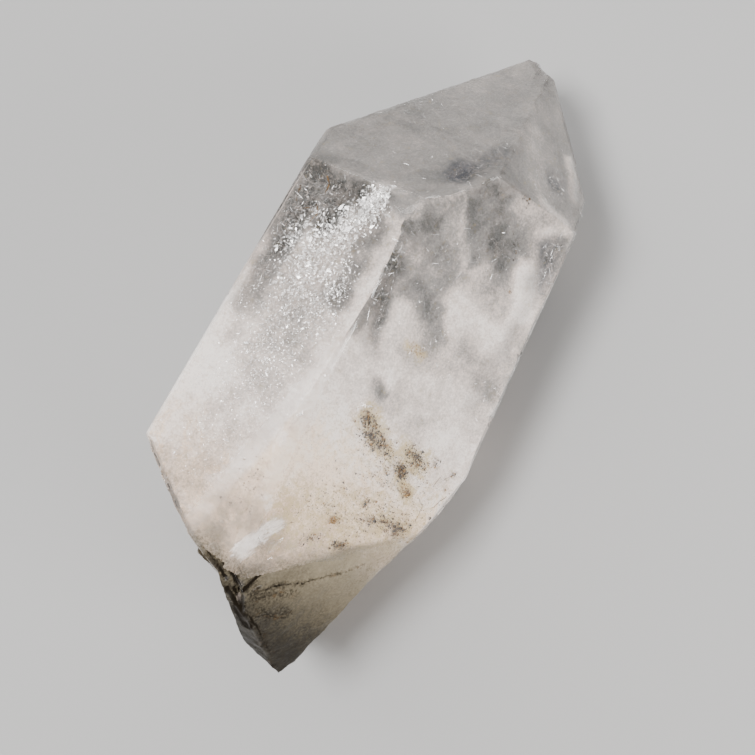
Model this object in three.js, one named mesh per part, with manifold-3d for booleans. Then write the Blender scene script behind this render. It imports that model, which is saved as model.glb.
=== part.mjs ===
// A natural quartz crystal point, lying on the flat prism face it rests on.
//
// Millimetres, +Z up. The crystal's long axis runs along +Y, towards the six-sided tip. The shape is worked
// out about that axis, with y = 0 at the shoulder where the prism meets the tip, and is set down on z = 0 at
// the end. Faces are planes: a direction and a distance from the axis. The angle between prism and tip faces
// is quartz's own.
import * as THREE from 'three';
import { mergeVertices } from 'three/addons/utils/BufferGeometryUtils.js';
import Module from 'manifold-3d';

const { degToRad } = THREE.MathUtils;

// Prism faces. Azimuths turn about the axis from +X, through +Z at 90 degrees. Distance is from the axis at
// the shoulder, and taper is how many degrees the face closes in towards the tip.
const PRISM = {
  upper: { azimuth: 89.9, distance: 36.5, taper: 3.8 },
  right: { azimuth: 29.7, distance: 32.9, taper: 0.1 },
  lowerRight: { azimuth: -29.1, distance: 39.7, taper: 4.4 },
  under: { azimuth: -90, distance: 41.5, taper: 0 },
  lowerLeft: { azimuth: -150, distance: 34.8, taper: 1.5 },
  left: { azimuth: 150.3, distance: 39.6, taper: 1.0 },
};

// Tip faces, one over each prism face: how far past the shoulder it crosses the axis, and its tilt from the
// prism. Quartz's own tilt is 38.2 degrees.
const TIP = {
  upper: { azimuth: 90.3, reach: 27.9, tilt: 38.2 },
  right: { azimuth: 30.5, reach: 42.6, tilt: 37.4 },
  lowerRight: { azimuth: -30, reach: 62.2, tilt: 38.2 },
  under: { azimuth: -90, reach: 75, tilt: 38.2 },
  lowerLeft: { azimuth: -150, reach: 64, tilt: 38.2 },
  left: { azimuth: 149.9, reach: 42.5, tilt: 37.9 },
};

// The very tip is knocked off in two small flats with a nick between them.
const TIP_FLATS = [
  { facing: [0.304, 0.934, 0.186], distance: 41.0 },
  { facing: [0.47, 0.876, 0.108], distance: 40.7 },
];
const TIP_NICK = { at: [3.8, 45.6, -13.2], radius: 1.4 };

// The ridge between the upper and right faces is worn flat near the shoulder, and again towards the base.
const WORN_RIDGES = [
  { facing: [0.496, 0.12, 0.86], distance: 36.1 },
  { facing: [0.499, -0.035, 0.866], distance: 46.5 },
];

// A shell-shaped chip at the corner where the upper face, the right face and the tip meet.
const CORNER_CHIP = { at: [11.1, -18.1, 49.3], radius: 13.2 };

// Break faces of the broken base. Relief is the height of the ripples and hackle on each one.
const BREAKS = {
  baseLeft: { facing: [-0.55, -0.8, 0.24], distance: 112.6, relief: 1.1, seed: 2 },
  baseMiddle: { facing: [-0.32, -0.92, 0.23], distance: 127.9, relief: 1.0, seed: 11 },
  oblique: { facing: [0.74, -0.331, -0.586], distance: 69.6, relief: 0.9, seed: 5 },
  obliqueShoulder: { facing: [0.84, -0.16, -0.52], distance: 57.3, relief: 0.7, seed: 9 },
  lowerLedge: { facing: [0.904, -0.159, 0.396], distance: 51.0, relief: 0.25, seed: 4 },
  tailFront: { facing: [0.929, -0.299, 0.219], distance: 67.9, relief: 0.45, seed: 7 },
  tailTop: { facing: [0.101, -0.913, 0.397], distance: 142.2, relief: 0.35, seed: 1 },
  tailSide: { facing: [-0.68, -0.67, 0.3], distance: 91.8, relief: 0.4, seed: 3 },
  tailEnd: { facing: [-0.296, -0.946, 0.129], distance: 138.4, relief: 0.4, seed: 8 },
  tailOblique: { facing: [0.778, -0.21, -0.592], distance: 57.6, relief: 0.6, seed: 12 },
  tailCorner: { facing: [0.693, -0.476, -0.542], distance: 94.6, relief: 0.4, seed: 10 },
  tailUnder: { facing: [-0.3, -0.6, -0.74], distance: 92, relief: 0.9, seed: 6 },
};

// The broken piece is three overlapping parts of the grown crystal, joined. Each ends at its own break faces,
// and all of them at the shared ones.
const SHARED_BREAKS = ['obliqueShoulder', 'lowerLedge', 'tailFront'];
const PARTS = {
  body: ['baseLeft', 'baseMiddle', 'oblique'],
  flank: ['baseLeft', 'baseMiddle', 'tailOblique', 'tailCorner'],
  tail: ['tailTop', 'tailSide', 'tailEnd', 'tailOblique', 'tailCorner', 'tailUnder'],
};

// A shallow pointed pit in the right face beside the worn ridge, steeper on the ridge's side.
const PIT = {
  at: [22.2, -122.6, 29.2],
  facing: [0.8, 0.036, 0.6],
  along: [-0.123, -0.968, 0.214],
  size: [10, 6.5, 1.6],
};

// A thin flake still hangs on the broken edge of the upper face.
const FLAKE = {
  at: [8.6, -130, 37],
  facing: [-0.5, -0.8, 0.3],
  along: [0.84, -0.45, -0.15],
  size: [11, 4.5, 4.5],
};

// Cracks where the tail joins the body: start and end on the surface, width and depth.
const CRACKS = [
  { from: [18.4, -133.6, 43], to: [22.6, -147, 18.5], facing: [0.35, -0.6, 0.72], width: 3.4, depth: 5.5 },
  { from: [19.8, -133.2, 37.5], to: [21.8, -139.6, 27.5], facing: [0.65, -0.35, 0.67], width: 2, depth: 3.4 },
  { from: [21.4, -138.4, 28.5], to: [25, -130.6, 24.5], facing: [0.87, -0.2, 0.45], width: 1.5, depth: 2.4 },
];

// Bites out of the broken edge of the upper face: place and radius.
const BITES = [
  { at: [-18.4, -116.4, 44.9], radius: 1.3 },
  { at: [-12.6, -120.2, 45.4], radius: 1.2 },
  { at: [-2.2, -126.6, 46.0], radius: 1.5 },
  { at: [10.5, -132.9, 46.2], radius: 1.3 },
];

// Growth lines: fine grooves straight across three prism faces, between two levels along the axis. Each
// groove's level, width, length and place across the face wander about the values here.
const GROOVED_FACES = {
  left: { width: 40, from: -18, to: -106, count: 13, seed: 0.35 },
  lowerRight: { width: 30, from: -8, to: -64, count: 9, seed: 0.7 },
  lowerLeft: { width: 48, from: -4, to: -124, count: 15, seed: 0.1 },
};
const GROOVE = { width: 1.8, depth: 0.35, levelWander: 0.42, widthWander: 0.6, shortest: 0.3, aside: 0.4 };

// Growth steps on the tip faces: a slab this thick is missing past a straight or angled edge.
const STEPS = [
  { face: 'lowerRight', at: [33, 12, -24], along: [0.3, 0.5, -0.8], size: [26, 34], depth: 0.5 },
  { face: 'under', at: [-6, 28, -34], along: [0.9, 0.1, -0.2], size: [18, 46], depth: 0.6 },
  { face: 'lowerLeft', at: [-34, 14, -17], along: [-0.2, 0.5, -0.8], size: [22, 30], depth: 0.5 },
  { face: 'left', at: [-40, 2, 12], along: [-0.4, -0.2, 0.9], size: [12, 30], depth: 0.4 },
];

const BLANK = { size: [112, 230, 112], at: [0, -52, 0] }; // the block that the crystal is cut from
const CUTTER = 240; // width of a cutting block, wider than any face
const CUTTER_DEEP = 120;
const CUTTER_LEVEL = -50; // cutting blocks are centred here along the axis, and reach both ends
const BREAK_STEP = 6; // spacing of the points that carry a break's relief
const SCOOP_DETAIL = 3; // subdivisions of the balls that cut conchoidal scoops
const BITE_DETAIL = 1;
const STEEP = 0.9; // a cutting block that faces this much along the axis is lined up with +Z instead of +Y
const TOUCHING = 1e-4; // corners of a shape closer than this are one corner

// Relief of a broken surface: shell-like ripples about a far centre, a slow swell, and fine hackle. A span is
// the distance in which a wave turns by one radian, a bend is how far a wave strays from straight, in radians,
// and the shares add up to one.
const RIPPLE = { share: 0.35, span: 6.5, centre: [40, 55], bend: 0.8, bendSpan: 11 };
const SWELL = { share: 0.4, spans: [17, 21] };
const HACKLE = { share: 0.25, spans: [3.1, 3.7], bend: 1.4, bendSpan: 4.3 };

const wasm = await Module();
wasm.setup();

/** Turns a closed three.js geometry into a solid that can be joined and cut. */
function solidFrom(geometry) {
  const bare = geometry.clone();
  bare.deleteAttribute('normal');
  bare.deleteAttribute('uv');
  const merged = mergeVertices(bare, TOUCHING);
  return new wasm.Manifold(new wasm.Mesh({
    numProp: 3,
    vertProperties: new Float32Array(merged.attributes.position.array),
    triVerts: new Uint32Array(merged.index.array),
  }));
}

/** Turns a solid back into a geometry with flat faces. */
function geometryFrom(solid) {
  const mesh = solid.getMesh();
  const geometry = new THREE.BufferGeometry();
  geometry.setAttribute('position', new THREE.BufferAttribute(mesh.vertProperties, 3));
  geometry.setIndex(new THREE.BufferAttribute(mesh.triVerts, 1));
  return geometry;
}

/** A direction from its azimuth about the crystal's axis and its tilt towards the tip, in degrees. */
function direction(azimuth, tilt) {
  const turn = degToRad(azimuth);
  const rise = degToRad(tilt);
  const across = Math.cos(rise);
  return new THREE.Vector3(Math.cos(turn) * across, Math.sin(rise), Math.sin(turn) * across);
}

/** Moves a geometry to a place, with its own +Z out along `facing` and its +Y near `along`. */
function placed(geometry, at, facing, along) {
  const z = new THREE.Vector3(...facing).normalize();
  const x = new THREE.Vector3(...along).cross(z).normalize();
  const y = new THREE.Vector3().crossVectors(z, x);
  const turn = new THREE.Matrix4().makeBasis(x, y, z);
  return geometry.applyMatrix4(turn.setPosition(new THREE.Vector3(...at)));
}

/** Height of a broken surface at a point on it, in -1 to 1. The seed, in radians, shifts every wave. */
function breakHeight(u, v, seed) {
  const [farU, farV] = RIPPLE.centre;
  const sweep = Math.hypot(u - farU * Math.sin(seed), v + farV * Math.cos(2 * seed));
  const ripple = Math.sin(sweep / RIPPLE.span + RIPPLE.bend * Math.sin(u / RIPPLE.bendSpan + seed));
  const swell = Math.sin(u / SWELL.spans[0] + 2 * seed) * Math.cos(v / SWELL.spans[1] - seed);
  const stray = 5 * seed + HACKLE.bend * Math.sin(v / HACKLE.bendSpan);
  const hackle = Math.sin(u / HACKLE.spans[0] + stray) * Math.sin(v / HACKLE.spans[1] + 3 * seed);
  return RIPPLE.share * ripple + SWELL.share * swell + HACKLE.share * hackle;
}

/** A block whose near side lies on a plane: taking it away leaves that plane, with a break's relief on it. */
function beyond({ facing, distance, relief = 0, seed = 0 }) {
  const cells = relief > 0 ? CUTTER / BREAK_STEP : 1;
  const block = new THREE.BoxGeometry(CUTTER, CUTTER, CUTTER_DEEP, cells, cells, 1);
  block.translate(0, 0, CUTTER_DEEP / 2);
  const place = block.attributes.position;
  for (let i = 0; i < place.count; i += 1) {
    if (place.getZ(i) < TOUCHING) {
      place.setZ(i, relief * breakHeight(place.getX(i), place.getY(i), seed));
    }
  }
  const out = new THREE.Vector3(...facing).normalize();
  const at = out.clone().multiplyScalar(distance);
  at.add(new THREE.Vector3(0, CUTTER_LEVEL, 0).projectOnPlane(out));
  const along = Math.abs(out.y) > STEEP ? [0, 0, 1] : [0, 1, 0];
  return solidFrom(placed(block, at.toArray(), out.toArray(), along));
}

/** A ball for scoops and bites. */
function ball(at, radius, detail) {
  return solidFrom(new THREE.IcosahedronGeometry(radius, detail).translate(...at));
}

/** A long thin lens that cuts a crack or stands as a flake. */
function lens(at, facing, along, [length, width, thick]) {
  const body = new THREE.OctahedronGeometry(1, 0).scale(width, length, thick);
  return solidFrom(placed(body, at, facing, along));
}

/** The six prism faces and six tip faces, as planes. */
function crystalFaces() {
  const faces = [];
  for (const { azimuth, distance, taper } of Object.values(PRISM)) {
    const apart = distance * Math.cos(degToRad(taper));
    faces.push({ facing: direction(azimuth, taper).toArray(), distance: apart });
  }
  for (const { azimuth, reach, tilt } of Object.values(TIP)) {
    const apart = reach * Math.sin(degToRad(tilt));
    faces.push({ facing: direction(azimuth, tilt).toArray(), distance: apart });
  }
  return faces;
}

/** The whole grown shape: prism and tip with their wear, before the base broke off. */
function grownCrystal() {
  let crystal = solidFrom(new THREE.BoxGeometry(...BLANK.size).translate(...BLANK.at));
  for (const face of [...crystalFaces(), ...TIP_FLATS, ...WORN_RIDGES]) {
    crystal = crystal.subtract(beyond(face));
  }
  return crystal;
}

/** Takes away everything beyond the named break faces. */
function broken(crystal, names) {
  let piece = crystal;
  for (const name of names) {
    piece = piece.subtract(beyond(BREAKS[name]));
  }
  return piece;
}

/** A number in -1 to 1 that jumps about as the index goes up, the same on every run. */
function jumpy(index, seed) {
  return Math.sin(13 * index + 40 * seed);
}

/** Grooves across one prism face, at irregular levels. */
function growthLines(name) {
  const { width, from, to, count, seed } = GROOVED_FACES[name];
  const { azimuth, distance, taper } = PRISM[name];
  const facing = direction(azimuth, taper);
  const across = new THREE.Vector3(0, 1, 0).cross(facing).normalize();
  const lines = [];
  for (let i = 0; i < count; i += 1) {
    const wander = jumpy(i, seed);
    const level = from + ((to - from) * (i + 0.5 + GROOVE.levelWander * wander)) / count;
    const reach = width * (1 - (1 - GROOVE.shortest) * jumpy(i, 2 * seed) ** 2);
    const onFace = distance - level * Math.tan(degToRad(taper));
    const centre = direction(azimuth, 0).multiplyScalar(onFace).setY(level);
    centre.addScaledVector(across, GROOVE.aside * (width - reach) * jumpy(i, 3 * seed));
    const groove = new THREE.OctahedronGeometry(1, 0);
    groove.scale((GROOVE.width / 2) * (1 + GROOVE.widthWander * wander), reach / 2, GROOVE.depth);
    lines.push(solidFrom(placed(groove, centre.toArray(), facing.toArray(), across.toArray())));
  }
  return lines;
}

/** A growth step: a shallow slab taken off part of a tip face. */
function growthStep({ face, at, along, size, depth }) {
  const { azimuth, reach, tilt } = TIP[face];
  const facing = direction(azimuth, tilt);
  const gap = reach * facing.y - new THREE.Vector3(...at).dot(facing);
  const onFace = new THREE.Vector3(...at).addScaledVector(facing, gap);
  const slab = new THREE.BoxGeometry(size[0], size[1], 2 * depth);
  return solidFrom(placed(slab, onFace.toArray(), facing.toArray(), along));
}

/** A crack between two points on the surface. */
function crack({ from, to, facing, width, depth }) {
  const start = new THREE.Vector3(...from);
  const end = new THREE.Vector3(...to);
  const middle = start.clone().lerp(end, 0.5);
  const along = end.clone().sub(start);
  return lens(middle.toArray(), facing, along.toArray(), [along.length() / 2, width / 2, depth]);
}

/** The quartz point: one solid, with its broken base, chips, cracks and growth lines. */
function quartzPoint() {
  const grown = broken(grownCrystal(), SHARED_BREAKS);
  let point = lens(FLAKE.at, FLAKE.facing, FLAKE.along, FLAKE.size);
  for (const breaks of Object.values(PARTS)) {
    point = point.add(broken(grown, breaks));
  }
  const cuts = [
    ball(CORNER_CHIP.at, CORNER_CHIP.radius, SCOOP_DETAIL),
    ball(TIP_NICK.at, TIP_NICK.radius, BITE_DETAIL),
    lens(PIT.at, PIT.facing, PIT.along, PIT.size),
    ...BITES.map(({ at, radius }) => ball(at, radius, BITE_DETAIL)),
    ...CRACKS.map(crack),
    ...Object.keys(GROOVED_FACES).flatMap(growthLines),
    ...STEPS.map(growthStep),
  ];
  for (const cut of cuts) {
    point = point.subtract(cut);
  }
  return geometryFrom(point);
}

/** Sets a geometry down on z = 0, with the middle of its box over the origin. */
function setDown(geometry) {
  geometry.computeBoundingBox();
  const { min, max } = geometry.boundingBox;
  return geometry.translate(-(min.x + max.x) / 2, -(min.y + max.y) / 2, -min.z);
}

const quartz = new THREE.MeshStandardMaterial({ color: 0xd9d3cf, roughness: 0.25, metalness: 0 });
const crystal = new THREE.Mesh(setDown(quartzPoint()), quartz);
crystal.name = 'quartz_point';

const model = new THREE.Group();
model.add(crystal);

export default model;
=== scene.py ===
import math

import bmesh
import bpy
import numpy as np
from bpy.props import FloatProperty, FloatVectorProperty, IntProperty, PointerProperty
from mathutils import Matrix, Vector
from mathutils.bvhtree import BVHTree


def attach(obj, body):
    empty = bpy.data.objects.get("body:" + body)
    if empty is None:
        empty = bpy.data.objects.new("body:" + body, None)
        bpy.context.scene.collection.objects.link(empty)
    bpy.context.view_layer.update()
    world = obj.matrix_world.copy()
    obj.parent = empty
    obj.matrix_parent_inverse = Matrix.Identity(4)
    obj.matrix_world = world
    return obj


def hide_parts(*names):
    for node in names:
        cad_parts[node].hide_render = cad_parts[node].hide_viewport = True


bl_info = {
    "name": "Quartz crystal point",
    "version": (1, 0, 0),
    "blender": (4, 5, 0),
    "location": "3D View > Sidebar > Quartz",
    "description": "Dresses the packed quartz point: glassy skin, milky clouds, glitter and iron specks",
    "category": "Mesh",
}

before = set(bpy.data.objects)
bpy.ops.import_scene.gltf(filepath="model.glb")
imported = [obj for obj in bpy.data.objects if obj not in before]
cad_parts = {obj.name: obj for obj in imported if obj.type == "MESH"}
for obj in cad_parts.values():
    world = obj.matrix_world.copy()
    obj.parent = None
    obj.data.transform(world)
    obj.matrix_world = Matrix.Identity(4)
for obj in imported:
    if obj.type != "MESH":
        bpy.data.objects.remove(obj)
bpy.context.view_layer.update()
NODE = "quartz_point"
MM = 0.001
QUARTZ_IOR = 1.544

# Angles between faces, in degrees, from which and up to which an edge counts as sharp.
SHARP_FROM, SHARP_TO = 20, 50
# Angles in degrees from which an edge shades crisply, on the grown faces and on the break.
CRISP_GROWN, CRISP_BROKEN = 18, 40

# The crystal's long axis runs along Y through this point, in millimetres in the part's frame.
AXIS = np.array([0.152, 53.092, 41.5])

# Faces by the azimuth about the axis and the tilt towards the tip, in degrees, and the distance in
# millimetres.
FACES = {
    "upper": (89.9, 3.8, 36.42),
    "right": (29.7, 0.1, 32.9),
    "lower_right": (-29.1, 4.4, 39.58),
    "under": (-90, 0, 41.5),
    "lower_left": (-150, 1.5, 34.79),
    "left": (150.3, 1.0, 39.59),
    "tip_upper": (90.3, 38.2, 17.25),
    "tip_right": (30.5, 37.4, 25.87),
    "tip_lower_right": (-30, 38.2, 38.46),
    "tip_under": (-90, 38.2, 46.38),
    "tip_lower_left": (-150, 38.2, 39.58),
    "tip_left": (149.9, 37.9, 26.11),
}
# Broken faces at the base, by their outward direction and distance.
BREAKS = {
    "tail_front": ((0.929, -0.299, 0.219), 67.9),
    "tail_top": ((0.101, -0.913, 0.397), 142.2),
    "oblique": ((0.74, -0.331, -0.586), 69.6),
}

# The shell-shaped chip where the upper face, the right face and the tip meet: its middle and its radius.
CHIP_MIDDLE = (11.1, -18.1, 49.3)
CHIP_RADIUS = 13.2

# Near the base the ridge between the upper and right faces is worn flat: its outward direction and distance.
WORN_RIDGE = ((0.499, -0.035, 0.866), 46.5)


def unit(vector):
    """The same direction with length one."""
    vector = np.asarray(vector, float)
    return vector / np.linalg.norm(vector)


def face_plane(face):
    """The outward direction of a face and its distance from the axis point."""
    if face in BREAKS:
        normal, distance = BREAKS[face]
        return unit(normal), distance
    azimuth, tilt, distance = FACES[face]
    turn, lean = math.radians(azimuth), math.radians(tilt)
    normal = (math.cos(turn) * math.cos(lean), math.sin(lean), math.sin(turn) * math.cos(lean))
    return np.array(normal), distance


class Face:
    """A flat face with places on it given across and along, in millimetres about the crystal's axis."""

    def __init__(self, name):
        self.normal, self.distance = face_plane(name)
        self.across = unit(np.cross((0, 1, 0), self.normal))
        self.up = np.cross(self.normal, self.across)

    def place(self, across, along):
        """The point on the face, in the part's frame in millimetres."""
        rows = np.array([self.across, (0, 1, 0), self.normal])
        return np.linalg.solve(rows, (across, along, self.distance)) + AXIS


class Noise:
    """Smooth noise from -1 to 1 over points in millimetres, the same on every run."""

    CELLS = 32

    def __init__(self, seed):
        self.values = np.random.default_rng(seed).uniform(-1, 1, (self.CELLS,) * 3)

    def once(self, points):
        low = np.floor(points).astype(int)
        part = points - low
        part = part * part * (3 - 2 * part)
        total = np.zeros(len(points))
        for corner in np.ndindex(2, 2, 2):
            share = np.prod(np.where(corner, part, 1 - part), axis=1)
            cell = (low + corner) % self.CELLS
            total += share * self.values[cell[:, 0], cell[:, 1], cell[:, 2]]
        return total

    def at(self, points, size, octaves=3):
        """Noise whose lumps are about that size, with finer lumps added."""
        total = np.zeros(len(points))
        for octave in range(octaves):
            total += self.once(points * (2 ** octave / size) + 7.3 * octave) / 2 ** octave
        return total


def ease(low, high, value):
    """0 below low, 1 above high and a smooth rise between them."""
    share = np.clip((value - low) / (high - low), 0, 1)
    return share * share * (3 - 2 * share)


class Patch:
    """A soft stretch of a face: from one place to another, with a half width and an amount."""

    def __init__(self, face, start, end, radius, amount, reach=9):
        self.face = Face(face)
        self.start, self.end = self.face.place(*start), self.face.place(*end)
        self.radius, self.amount, self.reach = radius, amount, reach

    def over(self, points, normals, softness=0.75):
        """How much of the patch each point has, from 0 to 1. Points that face another way have none."""
        way = self.end - self.start
        length = max(way @ way, 1e-9)
        share = np.clip((points - self.start) @ way / length, 0, 1)
        off = points - self.start - share[:, None] * way
        depth = off @ self.face.normal
        beside = np.linalg.norm(off - depth[:, None] * self.face.normal, axis=1)
        far = np.hypot(beside / self.radius, depth / self.reach)
        facing = ease(0.6, 0.85, normals @ self.face.normal)
        return facing * (1 - ease(1 - softness, 1 + softness, far))


def patches(rows):
    """Patches from rows by face: the start, the end, the half width and the amount."""
    return [Patch(face, *row) for face, on_face in rows for row in on_face]


def scattered(rows):
    """Patches over which flakes are scattered, each with the other numbers of its row."""
    return [
        (Patch(face, start, end, radius, 1), *others)
        for face, on_face in rows
        for start, end, radius, *others in on_face
    ]


def most(strokes, points, normals):
    """The largest amount that any of the strokes gives each point."""
    total = np.zeros(len(points))
    for patch in strokes:
        total = np.maximum(total, patch.amount * patch.over(points, normals))
    return total


# How dark the quartz looks, laid on in strokes one after the other: 0 is the whitest milk and 1 a dark
# window. Each row has the start, the end, the half width and the tone, as places across and along the face.
TONES = patches([
    ("upper", [
        ((-4.2, -56.8), (-1.5, -71.9), 10, 0.41),
        ((-1.0, -78.1), (0.1, -90.4), 9, 0.3),
        ((-1.5, -98), (-1, -104), 9.3, 0.18),
        ((-1.0, -37.3), (-7.5, -51.7), 5.5, 0.38),
        ((3.4, -22.2), (0.4, -36.7), 4.6, 0.38),
        ((-19.4, -22.3), (-5.5, -22.6), 5.0, 0.86),
        ((-13.5, -29), (-11.5, -34), 4.8, 0.95),
        ((-22.0, -27.1), (-19.4, -42.2), 3.4, 1.0),
        ((-19.8, -43.8), (-19.4, -54.3), 3.4, 0.68),
        ((-19.4, -54.3), (-18.3, -66.4), 3.2, 0.5),
        ((-18.3, -66.4), (-17.4, -75.9), 2.8, 0.32),
        ((6.4, -31.4), (5.8, -43.5), 3.4, 0.6),
        ((5.8, -43.5), (7.2, -56), 3.2, 0.54),
        ((11.1, -31.1), (11.6, -44.7), 1.5, 0.26),
    ]),
    ("right", [
        ((-24, -30.0), (-7.2, -28.4), 7.5, 0.5),
        ((-2, -9.8), (9, -20), 7.0, 0.64),
        ((4, -28), (14, -32), 6.0, 0.36),
        ((1.6, -39.5), (19.4, -40), 5.5, 0.12),
        ((-8, -69), (8, -71), 6, 0.24),
        ((-29, -30), (-19.9, -20), 3.0, 0.66),
        ((-19.6, -17.8), (-6.9, -4.2), 2.8, 0.62),
        ((-31, -24.5), (-19, -12), 1.9, 0.42),
        ((-22.6, -22), (-22, -21.6), 2.6, 0.56),
        ((-13.3, -13.4), (-3.9, -26.6), 1.6, 0.33),
        ((-10.8, -9.7), (-6.3, -14.9), 2.6, 0.66),
        ((-7, -15), (-4, -19), 2.2, 0.56),
        ((-4.2, -18.3), (-0.2, -24.5), 2.2, 0.68),
        ((-28.0, -41.9), (-26.5, -60.5), 2.8, 0.44),
        ((-28.4, -33.9), (-22.4, -49.5), 2.8, 0.74),
        ((-22.8, -49.8), (-19.3, -58.0), 2.1, 0.64),
        ((-24.3, -38.6), (-17.0, -41.9), 2.2, 0.66),
        ((-17, -43), (-11, -43), 3.2, 0.5),
        ((-12.3, -41.9), (-5.3, -43.6), 3.0, 0.56),
        ((-5.9, -43.9), (0.6, -49.5), 3.3, 0.6),
        ((-2, -52), (1.5, -55), 3.0, 0.42),
        ((-16.2, -48.4), (-7.8, -52.9), 3.0, 0.2),
        ((-23.4, -65.1), (-8.9, -67.2), 4.3, 0.12),
        ((-10.6, -68.7), (-6.9, -70.7), 1.8, 0.52),
        ((-8.7, -57.6), (-1.9, -57.9), 2.4, 0.38),
        ((20.5, -9.3), (25.8, -12.2), 2.1, 0.66),
        ((26.1, -12.6), (26.4, -19.3), 1.8, 0.56),
        ((24.1, -3.6), (26.0, -10.0), 1.4, 0.58),
        ((15.5, -6), (22.5, -1), 2.2, 0.2),
        ((17.5, -20), (22, -28), 3.8, 0.14),
        ((20, -21), (24, -30), 4.5, 0.02),
        ((24.9, -33.5), (25.8, -39.8), 2.2, 0.32),
        ((27.2, -49.1), (27.8, -54.9), 2.2, 0.34),
    ]),
    ("tip_upper", [
        ((-7.8, -7.2), (-4.1, 0.6), 5.0, 0.53),
        ((-15.1, -20.2), (1.7, -19.4), 2.8, 0.5),
        ((-8, 8), (5, 15), 7, 0.6),
        ((-26.4, -13.4), (-23.9, -9.1), 2.5, 0.56),
        ((-20.2, 4.5), (-13.4, 3.0), 2.5, 0.58),
        ((-1.7, 33.9), (4.2, 33.4), 2.8, 0.62),
        ((9.5, -10.5), (17.8, 3.5), 4.4, 0.72),
        ((16.8, -3.4), (18.6, 13.1), 3.0, 0.72),
        ((17.6, 13.1), (14.8, 23.6), 2.7, 0.62),
        ((15.6, -6.4), (14.4, -2.0), 3.2, 0.98),
        ((2.5, -20.5), (9, -23), 2.4, 0.36),
    ]),
    ("tip_right", [
        ((12.3, 1.1), (21.4, 0.7), 2.2, 0.32),
        ((-5.0, 2.4), (2.0, 3.2), 2.4, 0.66),
        ((0.5, 14.8), (-2.5, 6.9), 2.0, 0.62),
        ((8.6, 22.7), (10.5, 7.2), 4.5, 0.42),
        ((25.2, 22.3), (27.8, 10.9), 1.6, 0.25),
        ((18.3, 12.1), (21.6, 10.4), 1.8, 0.85),
    ]),
])
# Clear windows on the sides that the photograph doesn't show, of the same kind.
TONES += patches([
    ("left", [
        ((12, -20), (4, -48), 7, 0.78),
        ((-12, -60), (-4, -72), 5, 0.5),
        ((2, -90), (8, -110), 9, 0.05),
    ]),
    ("lower_left", [((-6, -30), (4, -52), 7, 0.74)]),
    ("lower_right", [
        ((8, -22), (-2, -50), 7, 0.74),
        ((-10, -62), (-2, -70), 5, 0.5),
    ]),
    ("tip_left", [((6, 12), (-4, 18), 7, 0.7)]),
    ("tip_lower_left", [((4, 4), (-6, 12), 7, 0.7)]),
    ("tip_lower_right", [((-6, 6), (6, 12), 7, 0.7)]),
    ("tip_under", [((0, 0), (6, 10), 7, 0.6)]),
])
# A painted highlight at the worn end of the ridge: a silky white patch.
SILK_HIGHLIGHT = Patch("right", (-23.5, -127.2), (-17.6, -117), 2.6, 1)
# Where fine fractures, light and dark, cross the clear quartz.
CRACKLED = patches([
    ("upper", [
        ((-23, -25), (-20.5, -42), 4.5, 1.0),
        ((-20, -44), (-21, -66), 3.2, 0.8),
        ((-13, -24), (-12, -31), 5, 0.6),
    ]),
    ("right", [
        ((25, -6), (22, -20), 3.2, 0.9),
        ((24, -22), (23, -60), 2.4, 0.4),
        ((-28.5, -34), (-21, -60), 3.2, 0.6),
    ]),
    ("tip_right", [
        ((20.5, 10.5), (17.4, 13.5), 3, 1.0),
        ((27, 8), (29, 16), 3, 0.7),
    ]),
    ("tip_upper", [((16, -6), (23, 4), 4, 0.4)]),
    ("left", [((10, -24), (4, -50), 5, 0.8)]),
    ("lower_left", [((-6, -30), (2, -44), 5, 0.8)]),
    ("lower_right", [((6, -24), (-2, -46), 5, 0.8)]),
])
# Where the clear quartz looks bluish.
BLUISH = patches([
    ("tip_upper", [
        ((15.4, -6), (14.6, -2), 4.4, 0.85),
        ((16, -3), (18.5, 8), 4, 0.5),
    ]),
    ("tip_right", [((19, 12), (22, 14), 4, 0.6)]),
    ("right", [((21, -9), (26, -18), 4, 0.6)]),
])
# The sparkling veil just under the upper face: dense at its top, thinning out towards the base. Each row
# ends with how many flakes there are and how large they are beside the usual one.
GLITTER = scattered([
    ("upper", [
        ((2.9, -20.8), (0.6, -27), 3.4, 600, 1.1),
        ((2, -25), (-4, -42), 5.0, 1150, 1.1),
        ((-8, -41), (-4, -58), 7, 1300, 1.0),
        ((4, -44), (7, -64), 4.5, 700, 0.75),
        ((-4, -56), (-3, -86), 11, 4600, 0.55),
        ((-5, -84), (-3, -112), 11, 1800, 0.4),
        ((-12, -34), (-16, -48), 3.5, 260, 1.0),
        ((15.6, -89.2), (20, -85), 0.5, 30, 1.2),
    ]),
    ("right", [
        ((-12.5, -77.6), (-8.7, -75.1), 0.7, 26, 1.4),
        ((-11.8, -44), (-11.2, -43), 0.4, 8, 1.3),
    ]),
])
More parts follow.
